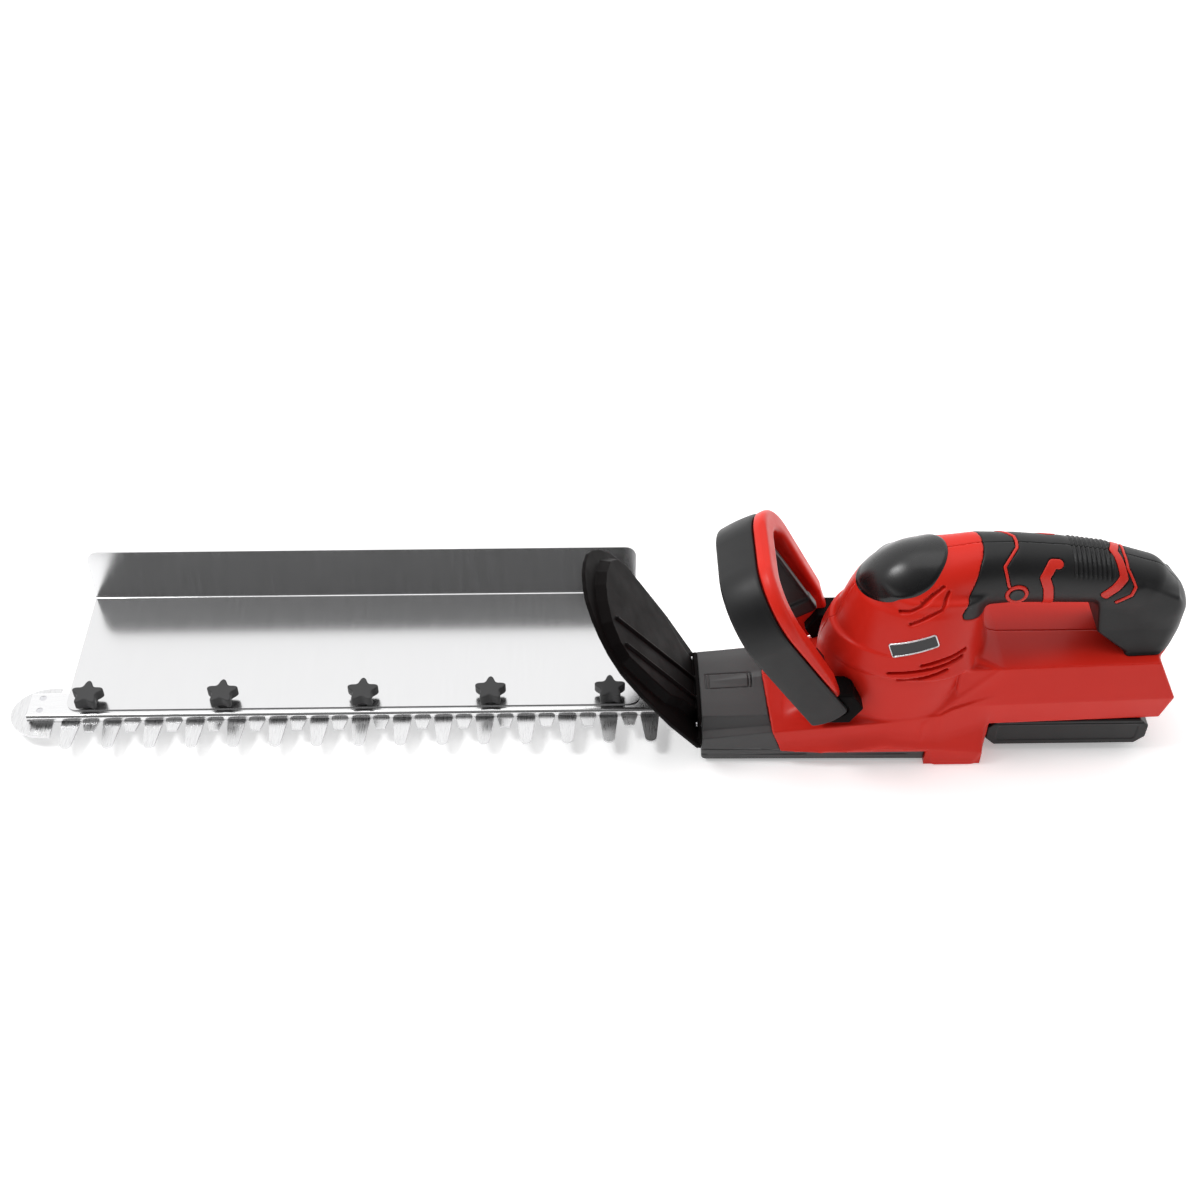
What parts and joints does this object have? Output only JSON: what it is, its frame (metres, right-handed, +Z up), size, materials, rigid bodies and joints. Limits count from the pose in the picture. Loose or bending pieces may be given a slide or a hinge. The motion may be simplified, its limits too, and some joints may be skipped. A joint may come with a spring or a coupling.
{
  "type": "cordless hedge trimmer",
  "caption": "Cordless hedge trimmer: toothed blade with a bolt-on sweeper plate, shield, leaning front loop handle, D-shaped rear handle and slide-in battery.",
  "frame": {"origin": "centre of the flat face the tool rests on, on its middle plane, under the gear train", "axes": "+X towards the rear handle, blade towards -X, +Z up, sweeper plate on the +Y side"},
  "size_m": [0.8649, 0.1773, 0.1789],
  "materials": {
    "red_shell": "satin moulded ABS",
    "red_trim": "satin",
    "black_grip": "soft-touch overmould",
    "black_gloss": "glossy",
    "black_button": "satin",
    "guard_black": "satin",
    "grey_case": "fine grain",
    "knob_grey": "satin",
    "battery_black": "satin",
    "inner_plastic": "satin",
    "dark_spacer": "satin",
    "blade_steel": "ground",
    "bar_aluminium": "polished edges",
    "sheet_metal": "satin sheet",
    "zinc_fastener": "zinc plated",
    "label_plate": "dark plate with silver border",
    "gear_steel": "machined",
    "motor_steel": "drawn",
    "bronze_bush": "sintered",
    "plate_aluminium": "cast",
    "board_green": "solder mask",
    "cell_wrap": "shrink sleeve"
  },
  "bodies": {
    "tool": {"comb_blade": "blade_steel", "guide_bar": "bar_aluminium", "nose_guard": "blade_steel", "bar_spacer": "dark_spacer", "blade_bolts": "zinc_fastener", "blade_nuts": "zinc_fastener", "bar_mount_bolts": "zinc_fastener", "sweeper_plate": "sheet_metal", "sweeper_studs": "zinc_fastener", "gear_case": "grey_case", "bottom_cover": "grey_case", "housing_left": "red_shell", "housing_right": "red_shell", "housing_screws": "zinc_fastener", "motor_cap": "black_gloss", "label_plate": "label_plate", "handle_left": "black_grip", "handle_right": "black_grip", "button_ring": "red_trim", "trigger_switch": "inner_plastic", "guard": "guard_black", "guard_screws": "zinc_fastener", "loop_grip": "black_grip", "loop_handle": "red_shell", "front_switch": "inner_plastic", "loop_sockets": "guard_black", "motor_can": "motor_steel", "gear_axle": "gear_steel", "gearbox_plate": "plate_aluminium", "control_board": "board_green", "terminal_block": "inner_plastic"},
    "cutter": {"cutter_blade": "blade_steel"},
    "drive": {"drive_wheel": "gear_steel", "gear_bush": "bronze_bush", "crank": "gear_steel"},
    "rotor": {"pinion": "gear_steel", "motor_shaft": "gear_steel"},
    "trigger": {"trigger": "black_button"},
    "lock_button": {"lock_button": "black_button"},
    "switch_bar": {"front_switch_bar": "black_button"},
    "battery": {"battery_case": "battery_black", "battery_cells": "cell_wrap", "battery_board": "board_green"},
    "latch": {"battery_latch": "red_trim"},
    "knob_1": {"star_knob_1": "knob_grey"},
    "knob_2": {"star_knob_2": "knob_grey"},
    "knob_3": {"star_knob_3": "knob_grey"},
    "knob_4": {"star_knob_4": "knob_grey"},
    "knob_5": {"star_knob_5": "knob_grey"}
  },
  "joints": [
    {"name": "cutter_stroke", "type": "slide", "parent": "tool", "child": "cutter", "axis": [1, 0, 0], "range_m": [-0.008, 0.008]},
    {"name": "drive_spin", "type": "hinge", "parent": "tool", "child": "drive", "pos_m": [0.015, 0, 0.046], "axis": [0, 0, 1], "continuous": true},
    {"name": "rotor_spin", "type": "hinge", "parent": "tool", "child": "rotor", "pos_m": [0.05, 0, 0.046], "axis": [0, 0, 1], "continuous": true},
    {"name": "trigger_pull", "type": "slide", "parent": "tool", "child": "trigger", "axis": [0, 0, 1], "range_m": [0, 0.005], "stiffness_N_per_m": 400, "springref_m": -0.004},
    {"name": "lock_press", "type": "slide", "parent": "tool", "child": "lock_button", "axis": [0, 1, 0], "range_m": [0, 0.0035], "stiffness_N_per_m": 300, "springref_m": -0.003},
    {"name": "switch_bar_squeeze", "type": "slide", "parent": "tool", "child": "switch_bar", "axis": [-0.515, 0, 0.8572], "range_m": [0, 0.005], "stiffness_N_per_m": 500, "springref_m": -0.004},
    {"name": "battery_slide", "type": "slide", "parent": "tool", "child": "battery", "axis": [1, 0, 0], "range_m": [0, 0.125]},
    {"name": "latch_press", "type": "slide", "parent": "battery", "child": "latch", "axis": [-1, 0, 0], "range_m": [0, 0.0025], "stiffness_N_per_m": 400, "springref_m": -0.003},
    {"name": "knob_1_turn", "type": "hinge", "parent": "tool", "child": "knob_1", "pos_m": [-0.5666, 0, 0.03], "axis": [0, 0, 1], "range_deg": [0, 720]},
    {"name": "knob_2_turn", "type": "hinge", "parent": "tool", "child": "knob_2", "pos_m": [-0.466, 0, 0.03], "axis": [0, 0, 1], "range_deg": [0, 720]},
    {"name": "knob_3_turn", "type": "hinge", "parent": "tool", "child": "knob_3", "pos_m": [-0.361, 0, 0.03], "axis": [0, 0, 1], "range_deg": [0, 720]},
    {"name": "knob_4_turn", "type": "hinge", "parent": "tool", "child": "knob_4", "pos_m": [-0.2654, 0, 0.03], "axis": [0, 0, 1], "range_deg": [0, 720]},
    {"name": "knob_5_turn", "type": "hinge", "parent": "tool", "child": "knob_5", "pos_m": [-0.1758, 0, 0.03], "axis": [0, 0, 1], "range_deg": [0, 720]}
  ],
  "couplings": [
    {"joint": "drive_spin", "follows": "rotor_spin", "ratio": -0.21739}
  ]
}
